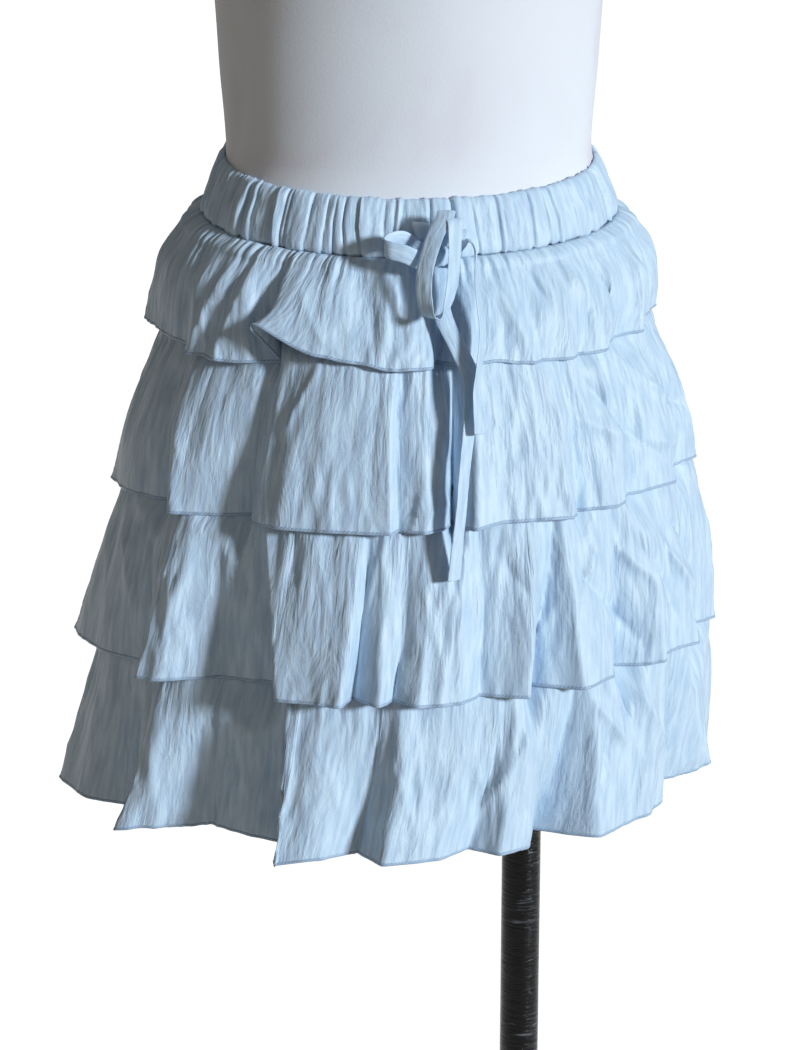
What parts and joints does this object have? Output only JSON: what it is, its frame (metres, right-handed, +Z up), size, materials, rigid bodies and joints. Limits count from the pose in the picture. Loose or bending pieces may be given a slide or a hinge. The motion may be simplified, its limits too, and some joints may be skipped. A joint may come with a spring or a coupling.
{
  "type": "tiered skort on a limbless dress form",
  "caption": "Powder-blue tiered mini skort with ruffle tiers, gathered elastic waist and a drawstring bow, worn by a limbless dress form on an offset black pole.",
  "frame": {"origin": "centre of the stand base's underside, on the floor", "axes": "+Z up along the form; the garment's centre front faces -Y and the wearer's left is +X"},
  "size_m": [0.4273, 0.3718, 1.5143],
  "materials": {
    "powder_blue_cloth": "crinkled",
    "form_cover": "satin",
    "black_stand": "gloss",
    "neck_cap_metal": "satin"
  },
  "bodies": {
    "root": {"form_torso": "form_cover", "form_neck_cap": "neck_cap_metal", "stand_base": "black_stand", "stand_collar": "black_stand", "stand_pole": "black_stand", "stand_socket": "black_stand", "waistband_front": "powder_blue_cloth", "waistband_back": "powder_blue_cloth", "tier_1_front": "powder_blue_cloth", "tier_1_back": "powder_blue_cloth", "tier_2_front": "powder_blue_cloth", "tier_2_back": "powder_blue_cloth", "tier_3_front": "powder_blue_cloth", "tier_3_back": "powder_blue_cloth", "tier_4_front": "powder_blue_cloth", "tier_4_back": "powder_blue_cloth", "skirt_base_front": "powder_blue_cloth", "skirt_base_back": "powder_blue_cloth", "shorts_left": "powder_blue_cloth", "shorts_right": "powder_blue_cloth", "tie_end_left": "powder_blue_cloth", "tie_end_right": "powder_blue_cloth", "tie_loop_small": "powder_blue_cloth", "tie_loop_large": "powder_blue_cloth", "tie_tail_short": "powder_blue_cloth", "tie_tail_long": "powder_blue_cloth", "tie_knot": "powder_blue_cloth"}
  },
  "joints": []
}
